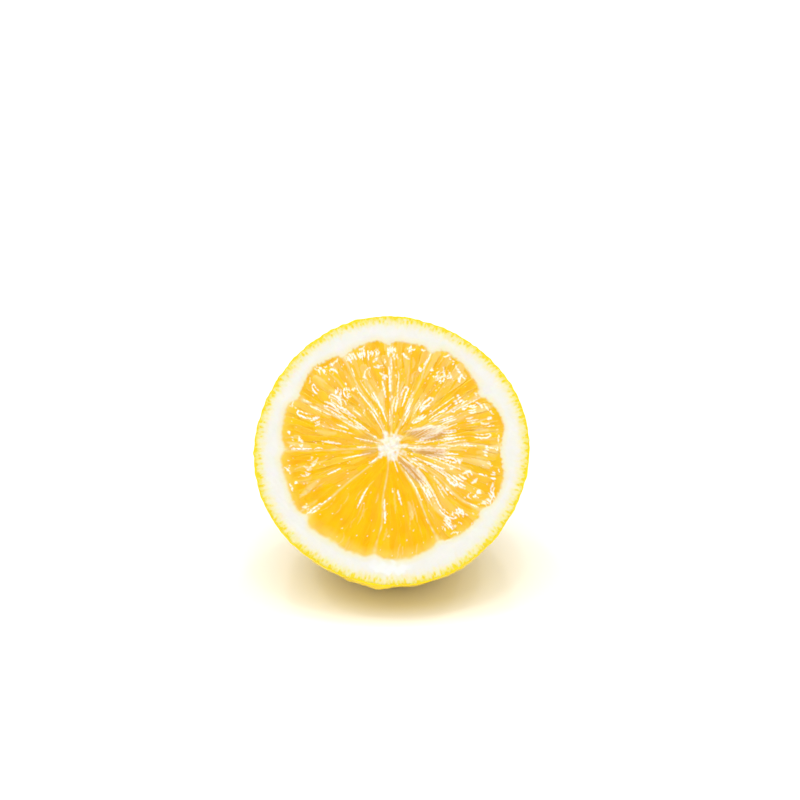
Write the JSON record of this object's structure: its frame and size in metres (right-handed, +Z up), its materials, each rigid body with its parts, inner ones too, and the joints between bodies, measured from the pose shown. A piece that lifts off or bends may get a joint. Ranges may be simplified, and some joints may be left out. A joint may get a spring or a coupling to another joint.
{
  "type": "lemon half",
  "caption": "Half a ripe lemon lying on its round side, its flat cut face tipped forward and up to show the pulp, pith and peel.",
  "frame": {"origin": "middle of the overall box, on the surface that the half rests on", "axes": "+Z up from the resting surface, -Y the side that the cut face looks to, +X to the right seen from in front of the cut face. The cut face's normal points towards -Y and 34 degrees above the horizon, and the nipple points the other way, back and down"},
  "size_m": [0.0626, 0.0574, 0.0608],
  "materials": {
    "peel": "satin",
    "pith": "matte",
    "pulp": "gloss"
  },
  "bodies": {
    "root": {"lemon_half": "peel"}
  },
  "joints": []
}
